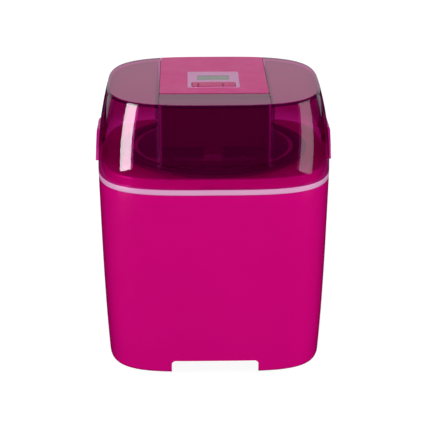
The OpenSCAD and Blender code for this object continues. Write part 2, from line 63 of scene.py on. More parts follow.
def corners(node):
    """Lowest and highest corner of a CAD node, in millimetres."""
    low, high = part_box(node)
    return [c / MM for c in low], [c / MM for c in high]


# ---------------------------------------------------------------- sizes taken from the frame

ring_low, ring_high = corners("trim_ring")
WIDTH = ring_high[0] - ring_low[0]
DEPTH = ring_high[1] - ring_low[1]
RING_Z0 = ring_low[2]
RING_Z1 = ring_high[2]
SKIRT_Z = corners("housing_shell")[0][2]
LID_LOW = corners("lid_shell")[0][2]
SEAM_Z = LID_LOW - 0.1
TOP_Z = corners("lid_shell")[1][2]
DECK_Z = corners("bowl_collar")[1][2]
COLLAR_LOW = corners("bowl_collar")[0][2]
UNIT_FRONT = corners("motor_housing")[0][1]
UNIT_LOW = corners("motor_housing")[0][2]
PANEL_Z = corners("motor_housing")[1][2]
FLAP_LOW = corners("filler_flap")[0][2]

WALL = 2.8
BARREL_R = 2.8
EDGE_R = 2.6
COLLAR_INSET = 4.4
RIM_Z0, RIM_Z1 = 199.0, 212.0  # the lid's tint deepens between these heights
CHANNEL_HALF = 51.0
CHANNEL_DRAFT = 0.026
CHANNEL_WALL = 3.2
FLOOR_Z = 212.0
FLOOR_T = 3.0
ARCH_HALF = 41.5
ARCH_H = 13.8
ARCH_R = 4.0
PLAY = 0.4  # gap at each side of what sits in the channel
KEY_LIP = 1.1  # how far a key's lip reaches under the bezel
PIN_R = 1.5  # the latch pins
KNUCKLE_R = 2.7  # each latch round its pin
PIVOT_Z = 214.0  # height of the latch pins
DRIVE_HOLE_R = 12.0
SHAFT_HOLE_R = 7.0

# The outlines are rounded squares: exponent 2 is an ellipse, higher is squarer
BASE_N, RING_N, TOP_N = 4.2, 3.75, 3.3
SIDE_DRAFT, FRONT_DRAFT, FOOT_TUCK, TUCK_CURVE = 0.022, 0.016, 2.8, 3.3
LID_IN_W, LID_IN_D, LID_CURVE = 10.3, 13.0, 2.2


def body_ring(z, inset=0.0):
    """One ring of the housing: height, half width, half depth, exponent."""
    t = (RING_Z0 - z) / RING_Z0
    tuck = FOOT_TUCK * max(t, 0) ** TUCK_CURVE
    half_w = WIDTH / 2 - SIDE_DRAFT * (RING_Z0 - z) - tuck - inset
    half_d = DEPTH / 2 - FRONT_DRAFT * (RING_Z0 - z) - tuck - inset
    return z, half_w, half_d, RING_N + (BASE_N - RING_N) * t


def lid_ring(z, inset=0.0):
    """One ring of the lid's outer form, moved in by inset."""
    t = max(z - SEAM_Z, 0) / (TOP_Z - SEAM_Z)
    half_w = WIDTH / 2 - LID_IN_W * t**LID_CURVE - inset
    half_d = DEPTH / 2 - LID_IN_D * t**LID_CURVE - inset
    return z, half_w, half_d, RING_N + (TOP_N - RING_N) * t


def seam_ring(z, inset=0.0):
    """One ring of the band where housing and lid meet."""
    return z, WIDTH / 2 - inset, DEPTH / 2 - inset, RING_N


def circle_ring(z, r):
    """A round ring, for a hole in a rounded-square deck."""
    return z, r, r, 2.0


def lid_rings(inset, low, steps=26, edge_steps=6):
    """Rings of the lid's form from height low up over its rounded top edge."""
    shoulder = TOP_Z - inset - EDGE_R
    rings = [lid_ring(low + (shoulder - low) * i / steps, inset) for i in range(steps + 1)]
    for i in range(1, edge_steps + 1):
        a = math.pi / 2 * i / edge_steps
        _, half_w, half_d, n = lid_ring(shoulder, inset + EDGE_R * (1 - math.cos(a)))
        rings.append((shoulder + EDGE_R * math.sin(a), half_w, half_d, n))
    return rings


def channel_x(z):
    """Half width of the lid's channel at height z."""
    return CHANNEL_HALF - CHANNEL_DRAFT * (TOP_Z - z)


# ---------------------------------------------------------------- mesh helpers


def outline(half_w, half_d, n):
    """Points of a rounded square, evenly spaced in angle."""
    points = []
    for i in range(ROUND):
        c = math.cos(2 * math.pi * i / ROUND)
        s = math.sin(2 * math.pi * i / ROUND)
        r = (abs(c / half_w) ** n + abs(s / half_d) ** n) ** (-1 / n)
        points.append((r * c, r * s))
    return points


def mesh_object(name, points, faces):
    """A mesh object from points in millimetres, with its faces turned outwards."""
    mesh = bpy.data.meshes.new(name)
    mesh.from_pydata([[c * MM for c in p] for p in points], [], faces)
    obj = bpy.data.objects.new(name, mesh)
    bpy.context.scene.collection.objects.link(obj)
    tidy(obj)
    return obj


def tidy(obj, merge=0.0):
    """Turns all faces outwards, and merges points closer than merge millimetres."""
    bm = bmesh.new()
    bm.from_mesh(obj.data)
    if merge:
        bmesh.ops.remove_doubles(bm, verts=bm.verts, dist=merge * MM)
        bmesh.ops.dissolve_degenerate(bm, edges=bm.edges, dist=merge * MM)
    bmesh.ops.recalc_face_normals(bm, faces=bm.faces)
    bm.to_mesh(obj.data)
    bm.free()


def lofted(name, rings, closed=False):
    """A skin over rings. A closed one joins its last ring to its first, an open one is capped."""
    points = [(x, y, z) for z, a, b, n in rings for x, y in outline(a, b, n)]
    faces = []
    for k in range(len(rings) - (0 if closed else 1)):
        low, high = k * ROUND, (k + 1) % len(rings) * ROUND
        for i in range(ROUND):
            j = (i + 1) % ROUND
            faces.append((low + i, low + j, high + j, high + i))
    if not closed:
        last = (len(rings) - 1) * ROUND
        faces.append(tuple(reversed(range(ROUND))))
        faces.append(tuple(range(last, last + ROUND)))
    return mesh_object(name, points, faces)


def prism(name, profile, axis, low, high):
    """A straight solid: profile holds the two other coordinates, in X, Y, Z order."""
    count = len(profile)

    def place(p, depth):
        out = list(p)
        out.insert(axis, depth)
        return out

    points = [place(p, low) for p in profile] + [place(p, high) for p in profile]
    faces = [tuple(range(count)), tuple(range(count, 2 * count))]
    for i in range(count):
        j = (i + 1) % count
        faces.append((i, j, count + j, count + i))
    return mesh_object(name, points, faces)


def arc(cx, cy, r, a0, a1, steps=8):
    """Points along an arc, angles in degrees."""
    points = []
    for i in range(steps + 1):
        a = math.radians(a0 + (a1 - a0) * i / steps)
        points.append((cx + r * math.cos(a), cy + r * math.sin(a)))
    return points


def rounded_rect(x0, x1, y0, y1, r, steps=6):
    """Outline of a rectangle with round corners."""
    return (
        arc(x1 - r, y0 + r, r, -90, 0, steps)
        + arc(x1 - r, y1 - r, r, 0, 90, steps)
        + arc(x0 + r, y1 - r, r, 90, 180, steps)
        + arc(x0 + r, y0 + r, r, 180, 270, steps)
    )


def rod(name, r, axis, low, high, at=(0, 0), sides=64):
    """A round bar, used as a cutter or joined to a bigger piece."""
    ring = arc(at[0], at[1], r, 0, 360 - 360 / sides, sides - 1)
    return prism(name, ring, axis, low, high)


def channel_block(name, grow, z0, z1, y0, y1):
    """A block that fills the lid's channel, wider by grow on each side."""
    profile = [
        (-channel_x(z0) - grow, z0),
        (channel_x(z0) + grow, z0),
        (channel_x(z1) + grow, z1),
        (-channel_x(z1) - grow, z1),
    ]
    return prism(name, profile, 1, y0, y1)


def spun(name, profile, sides, at):
    """A turned solid from (radius, height) points; a profile on the axis is closed there."""
    points, rows = [], []
    for r, z in profile:
        if r < 1e-6:
            rows.append([len(points)])
            points.append((at[0], at[1], z))
            continue
        rows.append(list(range(len(points), len(points) + sides)))
        for i in range(sides):
            a = 2 * math.pi * i / sides
            points.append((at[0] + r * math.cos(a), at[1] + r * math.sin(a), z))
    faces = []
    on_axis = profile[0][0] < 1e-6
    for k in range(len(rows) - (1 if on_axis else 0)):
        here, there = rows[k], rows[(k + 1) % len(rows)]
        for i in range(sides):
            j = (i + 1) % sides
            if len(here) == 1 and len(there) == 1:
                break
            if len(here) == 1:
                faces.append((here[0], there[j], there[i]))
            elif len(there) == 1:
                faces.append((here[i], here[j], there[0]))
            else:
                faces.append((here[i], here[j], there[j], there[i]))
    return mesh_object(name, points, faces)


def apply_modifiers(obj):
    """Bakes an object's modifiers into its mesh."""
    graph = bpy.context.evaluated_depsgraph_get()
    mesh = bpy.data.meshes.new_from_object(obj.evaluated_get(graph), depsgraph=graph)
    old = obj.data
    obj.modifiers.clear()
    obj.data = mesh
    bpy.data.meshes.remove(old)


def combine(obj, tool, operation):
    """Cuts, joins or intersects obj with tool, which is used up."""
    mod = obj.modifiers.new("combine", "BOOLEAN")
    mod.operation = operation
    mod.solver = "EXACT"
    mod.object = tool
    apply_modifiers(obj)
    bpy.data.objects.remove(tool)


def cut(obj, *tools):
    """Takes each tool out of obj."""
    for tool in tools:
        combine(obj, tool, "DIFFERENCE")


def join(obj, *tools):
    """Adds each tool to obj."""
    for tool in tools:
        combine(obj, tool, "UNION")


def keep(obj, tool):
    """Keeps only the part of obj that is inside tool."""
    combine(obj, tool, "INTERSECT")


def soften(obj, width, segments=3, angle=40, smooth=35):
    """Rounds the sharp edges and shades the rest smooth."""
    tidy(obj, merge=0.002)
    if width:
        bevel = obj.modifiers.new("rounded edges", "BEVEL")
        bevel.width = width * MM
        bevel.segments = segments
        bevel.limit_method = "ANGLE"
        bevel.angle_limit = math.radians(angle)
        bevel.miter_outer = "MITER_ARC"
        apply_modifiers(obj)
    obj.data.shade_smooth()
    obj.data.set_sharp_from_angle(angle=math.radians(smooth))
    weighted = obj.modifiers.new("even normals", "WEIGHTED_NORMAL")
    weighted.keep_sharp = True
    weighted.weight = 60


# ---------------------------------------------------------------- materials


class Nodes:
    """A short way to write a material's node tree."""

    def __init__(self, name):
        self.material = bpy.data.materials.new(name)
        self.material.use_nodes = True
        self.tree = self.material.node_tree
        self.tree.nodes.clear()
        self.out = self.add("ShaderNodeOutputMaterial")
        self.coords = self.add("ShaderNodeTexCoord").outputs["Object"]

    def add(self, kind, **values):
        node = self.tree.nodes.new(kind)
        for key, value in values.items():
            setattr(node, key, value)
        return node

    def link(self, a, b):
        self.tree.links.new(a, b)

    def noise(self, scale, detail=4.0, roughness=0.55, stretch=(1, 1, 1)):
        """Noise over the object's own coordinates; scale is in cycles per metre."""
        mapping = self.add("ShaderNodeMapping")
        mapping.inputs["Scale"].default_value = stretch
        self.link(self.coords, mapping.inputs["Vector"])
        noise = self.add("ShaderNodeTexNoise")
        noise.inputs["Scale"].default_value = scale
        noise.inputs["Detail"].default_value = detail
        noise.inputs["Roughness"].default_value = roughness
        self.link(mapping.outputs["Vector"], noise.inputs["Vector"])
        return noise.outputs["Fac"]

    def spread(self, value, low, high, from_low=0.3, from_high=0.7):
        """Maps a 0 to 1 pattern on to a range."""
        node = self.add("ShaderNodeMapRange")
        node.inputs["From Min"].default_value = from_low
        node.inputs["From Max"].default_value = from_high
        node.inputs["To Min"].default_value = low
        node.inputs["To Max"].default_value = high
        self.link(value, node.inputs["Value"])
        return node.outputs["Result"]

    def blend(self, value, dark, light):
        """Mixes two colours by a pattern."""
        node = self.add("ShaderNodeMix", data_type="RGBA")
        node.inputs["A"].default_value = (*dark, 1)
        node.inputs["B"].default_value = (*light, 1)
        self.link(value, node.inputs["Factor"])
        return node.outputs["Result"]

    def steps(self, value, *stops):
        """Runs through (position, colour) stops along a value."""
        node = self.add("ShaderNodeValToRGB")
        first, last = stops[0][0], stops[-1][0]
        ramp = node.color_ramp
        while len(ramp.elements) < len(stops):
            ramp.elements.new(0.5)
        for element, (place, colour) in zip(ramp.elements, stops):
            element.position = (place - first) / (last - first)
            element.color = (*colour, 1)
        self.link(self.spread(value, 0, 1, first, last), node.inputs["Fac"])
        return node.outputs["Color"]

    def bump(self, value, height):
        """A bump whose height is in millimetres."""
        node = self.add("ShaderNodeBump")
        node.inputs["Distance"].default_value = height * MM
        node.inputs["Strength"].default_value = 1.0
        self.link(value, node.inputs["Height"])
        return node.outputs["Normal"]

    def principled(self):
        shader = self.add("ShaderNodeBsdfPrincipled")
        self.link(shader.outputs["BSDF"], self.out.inputs["Surface"])
        return shader


def shade(colour, amount):
    """A colour made lighter or darker."""
    return tuple(min(c * amount, 1.0) for c in colour)


def plastic(name, colour, rough, grain=0.01, grain_scale=2600, vary=0.04, ior=1.5):
    """Moulded plastic: faint cloudiness in its colour, uneven gloss and a fine grain."""
    n = Nodes(name)
    shader = n.principled()
    cloud = n.spread(n.noise(14, detail=3), 0, 1)
    n.link(n.blend(cloud, shade(colour, 1 - vary), shade(colour, 1 + vary)), shader.inputs["Base Color"])
    smear = n.noise(55, detail=5, roughness=0.6)
    n.link(n.spread(smear, rough * 0.86, rough * 1.16), shader.inputs["Roughness"])
    n.link(n.bump(n.noise(grain_scale, detail=2), grain), shader.inputs["Normal"])
    shader.inputs["IOR"].default_value = ior
    return n.material


def metal(name, colour, rough, stretch=(1, 1, 1), scratch=400, bump=0.004):
    """Metal with fine scratches along its grain and patches of duller surface."""
    n = Nodes(name)
    shader = n.principled()
    shader.inputs["Metallic"].default_value = 0.6
    stain = n.spread(n.noise(35, detail=4), 0, 1)
    n.link(n.blend(stain, shade(colour, 0.86), colour), shader.inputs["Base Color"])
    lines = n.noise(scratch, detail=6, roughness=0.7, stretch=stretch)
    n.link(n.spread(lines, rough * 0.75, rough * 1.35), shader.inputs["Roughness"])
    n.link(n.bump(lines, bump), shader.inputs["Normal"])
    return n.material


def rubber(name, colour):
    """Rubber: dull, slightly dusty, with a coarse moulded grain."""
    n = Nodes(name)
    shader = n.principled()
    dust = n.spread(n.noise(60, detail=6), 0, 1, 0.45, 0.8)
    n.link(n.blend(dust, colour, shade(colour, 1.7)), shader.inputs["Base Color"])
    n.link(n.spread(n.noise(200), 0.62, 0.85), shader.inputs["Roughness"])
    n.link(n.bump(n.noise(1800, detail=3), 0.03), shader.inputs["Normal"])
    return n.material


def clear_plastic(name, tint, rim_tint, haze_colour, haze=0.024, sides=0, graze=1.0):
    """Clear tinted plastic with a little haze.

    Each face passes the tint and mirrors more at low angles, up to graze. Tint and haze follow the
    height: paler at the rim and hazier on top. A dark band in the tint round the top edge is painted
    shade, standing in for the dark that a rounded clear edge shows. Haze also covers what is farther
    from the middle than sides, in millimetres.
    """
    rough = 0.03
    top_haze = 0.133
    # Painted shade: a dark copy of the tint for the band round the top edge.
    painted_edge_shade = shade(tint, 0.2)
    n = Nodes(name)
    through = n.add("ShaderNodeBsdfTransparent")
    split = n.add("ShaderNodeSeparateXYZ")
    n.link(n.coords, split.inputs["Vector"])
    height = split.outputs["Z"]
    # From TOP_Z - 2.5 upwards the stops paint shade: a dark band round the top edge.
    stops = [(RIM_Z0, rim_tint), (RIM_Z1, tint), (TOP_Z - 2.5, tint), (TOP_Z - 2.1, painted_edge_shade)]
    stops += [(TOP_Z - 0.3, painted_edge_shade), (TOP_Z - 0.08, tint)]
    n.link(n.steps(height, *[(z * MM, colour) for z, colour in stops]), through.inputs["Color"])
    gloss = n.add("ShaderNodeBsdfGlossy")
    gloss.inputs["Color"].default_value = (1, 1, 1, 1)
    n.link(n.spread(n.noise(70, detail=5), rough * 0.7, rough * 1.5), gloss.inputs["Roughness"])
    ripple = n.bump(n.noise(26, detail=1), 0.05)
    n.link(ripple, gloss.inputs["Normal"])
    facing = n.add("ShaderNodeLayerWeight")
    facing.inputs["Blend"].default_value = 0.5
    power = n.add("ShaderNodeMath", operation="POWER")
    power.inputs[1].default_value = 5.0
    n.link(facing.outputs["Facing"], power.inputs[0])
    share = n.spread(power.outputs[0], 0.04, graze, 0.0, 1.0)
    cloudy = n.add("ShaderNodeBsdfDiffuse")
    cloud = n.spread(n.noise(9, detail=2), 0, 1)
    n.link(n.blend(cloud, shade(haze_colour, 0.9), shade(haze_colour, 1.08)), cloudy.inputs["Color"])
    amount = n.spread(height, haze, top_haze, (TOP_Z - 0.7) * MM, (TOP_Z - 0.1) * MM)
    if sides:
        across = n.add("ShaderNodeMath", operation="ABSOLUTE")
        n.link(split.outputs["X"], across.inputs[0])
        edge = n.spread(across.outputs[0], 0, 0.12, sides * MM, (sides + 0.7) * MM)
        more = n.add("ShaderNodeMath", operation="MAXIMUM")
        n.link(amount, more.inputs[0])
        n.link(edge, more.inputs[1])
        amount = more.outputs[0]
    hazy = n.add("ShaderNodeMixShader")
    n.link(amount, hazy.inputs["Fac"])
    n.link(through.outputs["BSDF"], hazy.inputs[1])
    n.link(cloudy.outputs["BSDF"], hazy.inputs[2])
    mix = n.add("ShaderNodeMixShader")
    n.link(share, mix.inputs["Fac"])
    n.link(hazy.outputs["Shader"], mix.inputs[1])
    n.link(gloss.outputs["BSDF"], mix.inputs[2])
    n.link(mix.outputs["Shader"], n.out.inputs["Surface"])
    return n.material


def display_glass(name):
    """The display: a dull grey-green liquid crystal behind a glossy window."""
    n = Nodes(name)
    shader = n.principled()
    tone = n.spread(n.noise(90, detail=2), 0, 1)
    n.link(n.blend(tone, (0.20, 0.215, 0.20), (0.23, 0.245, 0.225)), shader.inputs["Base Color"])
    n.link(n.spread(n.noise(120), 0.16, 0.24), shader.inputs["Roughness"])
    return n.material


def circuit(name):
    """Green solder mask with tracks as lighter lines."""
    n = Nodes(name)
    shader = n.principled()
    tracks = n.add("ShaderNodeTexBrick")
    n.link(n.coords, tracks.inputs["Vector"])
    tracks.inputs["Color1"].default_value = (0.012, 0.12, 0.045, 1)
    tracks.inputs["Color2"].default_value = (0.016, 0.15, 0.055, 1)
    tracks.inputs["Mortar"].default_value = (0.03, 0.24, 0.08, 1)
    tracks.inputs["Scale"].default_value = 160.0
    tracks.inputs["Mortar Size"].default_value = 0.03
    n.link(tracks.outputs["Color"], shader.inputs["Base Color"])
    n.link(n.spread(n.noise(150), 0.3, 0.45), shader.inputs["Roughness"])
    return n.material


def gel_material(name):
    """Sealed coolant: cloudy pale blue."""
    n = Nodes(name)
    shader = n.principled()
    cloud = n.spread(n.noise(40, detail=5), 0, 1)
    n.link(n.blend(cloud, (0.42, 0.62, 0.78), (0.62, 0.78, 0.88)), shader.inputs["Base Color"])
    shader.inputs["Roughness"].default_value = 0.35
    shader.inputs["Subsurface Weight"].default_value = 0.2
    return n.material


def winding(name):
    """Enamelled copper wire: fine turns round the coil."""
    n = Nodes(name)
    shader = n.principled()
    shader.inputs["Metallic"].default_value = 0.8
    turns = n.add("ShaderNodeTexWave", bands_direction="Z")
    turns.inputs["Scale"].default_value = 500.0
    n.link(n.coords, turns.inputs["Vector"])
    n.link(n.blend(turns.outputs["Fac"], (0.32, 0.12, 0.04), (0.62, 0.29, 0.13)), shader.inputs["Base Color"])
    n.link(n.bump(turns.outputs["Fac"], 0.15), shader.inputs["Normal"])
    shader.inputs["Roughness"].default_value = 0.35
    return n.material


MAGENTA = (0.635, 0.0006, 0.193)
TINT = (0.72, 0.20, 0.53)
RIM_TINT = (0.93, 0.40, 0.80)
HAZE = (0.9, 0.002, 0.44)

LOOKS = {
    "body_plastic": plastic("magenta gloss", MAGENTA, 0.16, grain=0.0015, vary=0.02),
    "trim_plastic": plastic("pink satin", (0.77, 0.385, 0.62), 0.34, grain=0.006),
    "panel_plastic": plastic(
        "magenta satin", (0.60, 0.035, 0.22), 0.38, grain=0.02, grain_scale=3500, ior=1.4
    ),
    "motor_plastic": plastic("dark magenta", (0.13, 0.001, 0.06), 0.45, grain=0.02),
    "button_plastic": plastic("magenta keys", (0.52, 0.02, 0.16), 0.34, grain=0.01),
    "bezel_plastic": plastic("mauve satin", (0.61, 0.27, 0.49), 0.4, grain=0.015),
    "clear_tint": clear_plastic("clear magenta", TINT, RIM_TINT, HAZE),
    "lcd_glass": display_glass("display"),
    "white_plastic": plastic("white plastic", (0.78, 0.78, 0.76), 0.38, grain=0.012),
    "ivory_plastic": plastic("natural acetal", (0.72, 0.68, 0.58), 0.42, grain=0.012),
    "grey_plastic": plastic("dark grey plastic", (0.07, 0.07, 0.075), 0.5, grain=0.03),
    "plum_plastic": plastic("dark plum plastic", (0.09, 0.003, 0.035), 0.42, grain=0.02),
    "bowl_aluminium": metal("spun aluminium", (0.78, 0.79, 0.8), 0.32, stretch=(1, 1, 14)),
    "gel": gel_material("coolant"),
    "steel": metal("turned steel", (0.62, 0.62, 0.63), 0.28, stretch=(1, 1, 9)),
    "dark_steel": metal("blackened steel", (0.06, 0.05, 0.055), 0.35),
    "motor_steel": metal("pressed steel", (0.5, 0.5, 0.51), 0.36, stretch=(3, 3, 1)),
    "brass": metal("turned brass", (0.72, 0.52, 0.24), 0.3, stretch=(1, 1, 9)),
    "copper": winding("copper winding"),
    "board": circuit("circuit board"),
    "rubber": rubber("black rubber", (0.018, 0.018, 0.018)),
    "dark_rubber": rubber("dark rubber", (0.055, 0.006, 0.025)),
    "grey_rubber": rubber("grey silicone", (0.42, 0.42, 0.43)),
}

SLOT_OF = {part["node"]: part["material_slot"] for part in frame["record"]["subparts"]}


# Painted light: the collar's magenta is lighter and bluer than the body's, standing in for light that reaches
# it through the tinted lid.
COLLAR_LOOK = plastic("collar magenta painted lighter", (0.66, 0.003, 0.33), 0.3, grain=0.003)
LATCH_LOOK = clear_plastic("clear magenta latch", TINT, RIM_TINT, HAZE, haze=0.42, graze=0.4)
FLAP_LOOK = clear_plastic("clear magenta flap", TINT, RIM_TINT, HAZE, sides=48.0)


def piece(obj, body, *nodes, look=None):
    """Gives a piece its look, from the first node's slot unless one is given, ties it to its body and hides
    the CAD nodes that it stands for.
    """
    slot = SLOT_OF[nodes[0]]
    obj.data.materials.clear()
    obj.data.materials.append(look or LOOKS[slot])
    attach(obj, body)
    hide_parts(*nodes)
    return obj


for name, obj in frame["nodes"].items():
    obj.data.materials.clear()
    obj.data.materials.append(LOOKS[SLOT_OF[name]])
    obj.data.shade_smooth()
    obj.data.set_sharp_from_angle(angle=math.radians(32))


# ---------------------------------------------------------------- housing


def housing_shell():
    """The outer shell with its rounded foot and the two foot arches."""
    top = RING_Z0
    levels = [SKIRT_Z + 3.4 + (top - SKIRT_Z - 3.4) * i / 30 for i in range(31)]
    foot = [(0.0, 2.3), (0.25, 1.45), (0.75, 0.75), (1.5, 0.3), (2.4, 0.07)]
    outside = [body_ring(SKIRT_Z + dz, inset) for dz, inset in foot]
    outside += [body_ring(z, 0.0) for z in levels]
    outside[-1] = body_ring(top, 0.35)
    inside = [body_ring(z, WALL) for z in [SKIRT_Z] + levels[1::3] + [top]]
    shell = lofted("housing_shell_skin", list(reversed(inside)) + outside, closed=True)
    arch = [(-ARCH_HALF, -2), (ARCH_HALF, -2)]
    arch += arc(ARCH_HALF - ARCH_R, ARCH_H - ARCH_R, ARCH_R, 0, 90)
    arch += arc(ARCH_R - ARCH_HALF, ARCH_H - ARCH_R, ARCH_R, 90, 180)
    cut(shell, prism("arch", arch, 1, -DEPTH, DEPTH))
    soften(shell, 0.35, angle=50)
    return piece(shell, "housing", "housing_shell")


def trim_ring():
    """The light band between housing and lid, with round edges."""
    inner = COLLAR_INSET - 0.1
    r = 0.8
    rings = [seam_ring(RING_Z1, inner), seam_ring(RING_Z0, inner)]
    for a in (0, 22, 45, 68, 90):
        t = math.radians(a)
        rings.append(seam_ring(RING_Z0 + r * (1 - math.cos(t)), r * (1 - math.sin(t))))
    for a in (90, 68, 45, 22, 0):
        t = math.radians(a)
        rings.append(seam_ring(RING_Z1 - r * (1 - math.cos(t)), r * (1 - math.sin(t))))
    band = lofted("trim_ring_band", rings, closed=True)
    soften(band, 0)
    return piece(band, "housing", "trim_ring")


def bowl_collar():
    """The collar and deck round the bowl, with a shallow notch at the front."""
    hole_r = 86.8
    deck_t = 3.0
    inside = COLLAR_INSET + WALL
    rings = [
        circle_ring(DECK_Z, hole_r + 0.6),
        circle_ring(DECK_Z - 0.2, hole_r + 0.15),
        circle_ring(DECK_Z - 0.7, hole_r),
        circle_ring(DECK_Z - deck_t, hole_r),
        seam_ring(DECK_Z - deck_t, inside),
        seam_ring(COLLAR_LOW, inside),
        seam_ring(COLLAR_LOW, COLLAR_INSET),
        seam_ring(DECK_Z - 1.6, COLLAR_INSET),
    ]
    for a in (15, 30, 45, 60, 75, 90):
        t = math.radians(a)
        rings.append(seam_ring(DECK_Z - 1.6 * (1 - math.sin(t)), COLLAR_INSET + 1.6 * (1 - math.cos(t))))
    collar = lofted("bowl_collar_skin", rings, closed=True)
    front = -DEPTH / 2 + COLLAR_INSET
    notch = rounded_rect(-17, 17, SEAM_Z - 0.1, SEAM_Z + 2.4, 0.6)
    cut(collar, prism("notch", notch, 1, front - 3, front + 1.1))
    soften(collar, 0, angle=50)
    return piece(collar, "housing", "bowl_collar", look=COLLAR_LOOK)


def rubber_feet():
    """Four round feet with a ridged tread."""
    high = corners("rubber_feet")[1]
    r = 8.0
    x, y = high[0] - r, high[1] - r
    tread = [(0, 0.5), (2.0, 0.5), (2.4, 0.0), (3.6, 0.0), (4.0, 0.5), (4.6, 0.5), (5.0, 0.0), (6.9, 0.0)]
    side = [(7.6, 0.25), (8.0, 1.0), (8.0, high[2] - 1), (8.0, high[2]), (0, high[2])]
    feet = None
    for sx in (-1, 1):
        for sy in (-1, 1):
            foot = spun("foot", tread + side, 48, at=(sx * x, sy * y))
            if feet is None:
                feet = foot
                feet.name = "rubber_feet_treaded"
            else:
                merge_meshes(feet, foot)
    soften(feet, 0)
    return piece(feet, "housing", "rubber_feet")


def merge_meshes(obj, other):
    """Adds the other object's mesh to obj as a separate shell."""
    bm = bmesh.new()
    bm.from_mesh(obj.data)
    bm.from_mesh(other.data)
    bm.to_mesh(obj.data)
    bm.free()
    bpy.data.objects.remove(other)


# ---------------------------------------------------------------- lid


def lid_bonnet(name, wall, low):
    """The lid's hollow form, open below."""
    inner = list(reversed(lid_rings(wall, low)))
    return lofted(name, inner + lid_rings(0.0, low))


def lid_shell():
    """The clear lid with its channel, filler opening, latch windows and pin bosses."""
    shell = lid_bonnet("lid_shell_clear", WALL, LID_LOW)
    walls = lofted("walls", lid_rings(0.8, LID_LOW + 2))
    keep(walls, channel_block("u", CHANNEL_WALL, FLOOR_Z - FLOOR_T, TOP_Z + 5, -DEPTH, DEPTH))
    join(shell, walls)
    cut(shell, channel_block("slot", 0.0, FLOOR_Z, TOP_Z + 9, -DEPTH, DEPTH))
    cut(shell, prism("filler", rounded_rect(-38, 38, -79, -53, 5), 2, FLOOR_Z - 9, FLOOR_Z + 9))
    latch_high = corners("latch_right")[1]
    half = latch_high[1] + 0.5
    for side in (-1, 1):
        window = rounded_rect(-half, half, LID_LOW - 8, latch_high[2] + 1.2, 1.2)
        x0, x1 = sorted((side * 98, side * 130))
        cut(shell, prism("window", window, 0, x0, x1))
    pin_low, pin_high = corners("latch_pins")
    pin_x = pin_high[0] - PIN_R
    pin_z = (pin_low[2] + pin_high[2]) / 2
    for side in (-1, 1):
        for y0, y1 in ((half, half + 5), (-half - 5, -half)):
            join(shell, rod("boss", 3.3, 1, y0, y1, at=(side * pin_x, pin_z), sides=32))
    cut(shell, rod("drive", DRIVE_HOLE_R, 2, FLOOR_Z - 9, FLOOR_Z + 9))
    soften(shell, 0.3, segments=2, angle=50)
    return piece(shell, "lid", "lid_shell")


def filler_flap():
    """The clear flap: top strip and front face in one, with side webs and a hinge barrel."""
    pin_low, pin_high = corners("flap_pins")
    hinge_y = (pin_low[1] + pin_high[1]) / 2
    hinge_z = (pin_low[2] + pin_high[2]) / 2
    flap = lid_bonnet("filler_flap_clear", WALL - 0.2, LID_LOW + 5)
    keep(flap, channel_block("f", -PLAY, FLAP_LOW, TOP_Z + 5, -DEPTH, hinge_y))
    web_front = -DEPTH / 2 + 16
    webs = lofted("webs", lid_rings(1.0, LID_LOW + 5))
    keep(webs, channel_block("w", -PLAY, FLAP_LOW, TOP_Z - 5, -DEPTH, web_front))
    cut(webs, channel_block("w2", -PLAY - 1.8, FLAP_LOW - 5, TOP_Z + 5, -DEPTH, DEPTH))
    join(flap, webs)
    barrel_half = CHANNEL_HALF - 1.2
    join(flap, rod("barrel", BARREL_R, 0, -barrel_half, barrel_half, at=(hinge_y, hinge_z), sides=40))
    soften(flap, 0.25, segments=2, angle=50)
    return piece(flap, "flap", "filler_flap", look=FLAP_LOOK)


def latch(side, body, node):
    """A rocker latch: outer face that leans out towards its foot, round top, finger ridges at the foot."""
    low, high = corners(node)
    inner = min(abs(low[0]), abs(high[0]))
    outer = max(abs(low[0]), abs(high[0]))
    pivot_x = inner + KNUCKLE_R
    half = high[1]
    r = 3.6
    lean = 1.8 / (high[2] - low[2])

    def face_x(z):
        return outer + 1.0 - lean * (z - low[2])

    profile = [(pivot_x + 0.9, low[2]), (face_x(low[2]) - 0.5, low[2]), (face_x(low[2]), low[2] + 0.5)]
    for i in range(4):
        z = low[2] + 3.0 + 2.4 * i
        profile += [(face_x(z), z), (face_x(z) - 0.5, z + 0.5)]
        profile += [(face_x(z) - 0.5, z + 0.9), (face_x(z), z + 1.4)]
    profile += arc(face_x(high[2]) - r, high[2] - r, r, 0, 90)
    profile += [(pivot_x + 0.6, high[2]), (pivot_x + 0.2, PIVOT_Z + 4), (pivot_x + 0.2, PIVOT_Z - 4)]
    profile = [(side * x, z) for x, z in profile]
    obj = prism(node + "_clear", profile, 1, -half, half)
    join(obj, rod("knuckle", KNUCKLE_R, 1, -half, half, at=(side * pivot_x, PIVOT_Z), sides=40))
    soften(obj, 0.45, segments=3, angle=50)
    return piece(obj, body, node, look=LATCH_LOOK)


# ---------------------------------------------------------------- motor unit


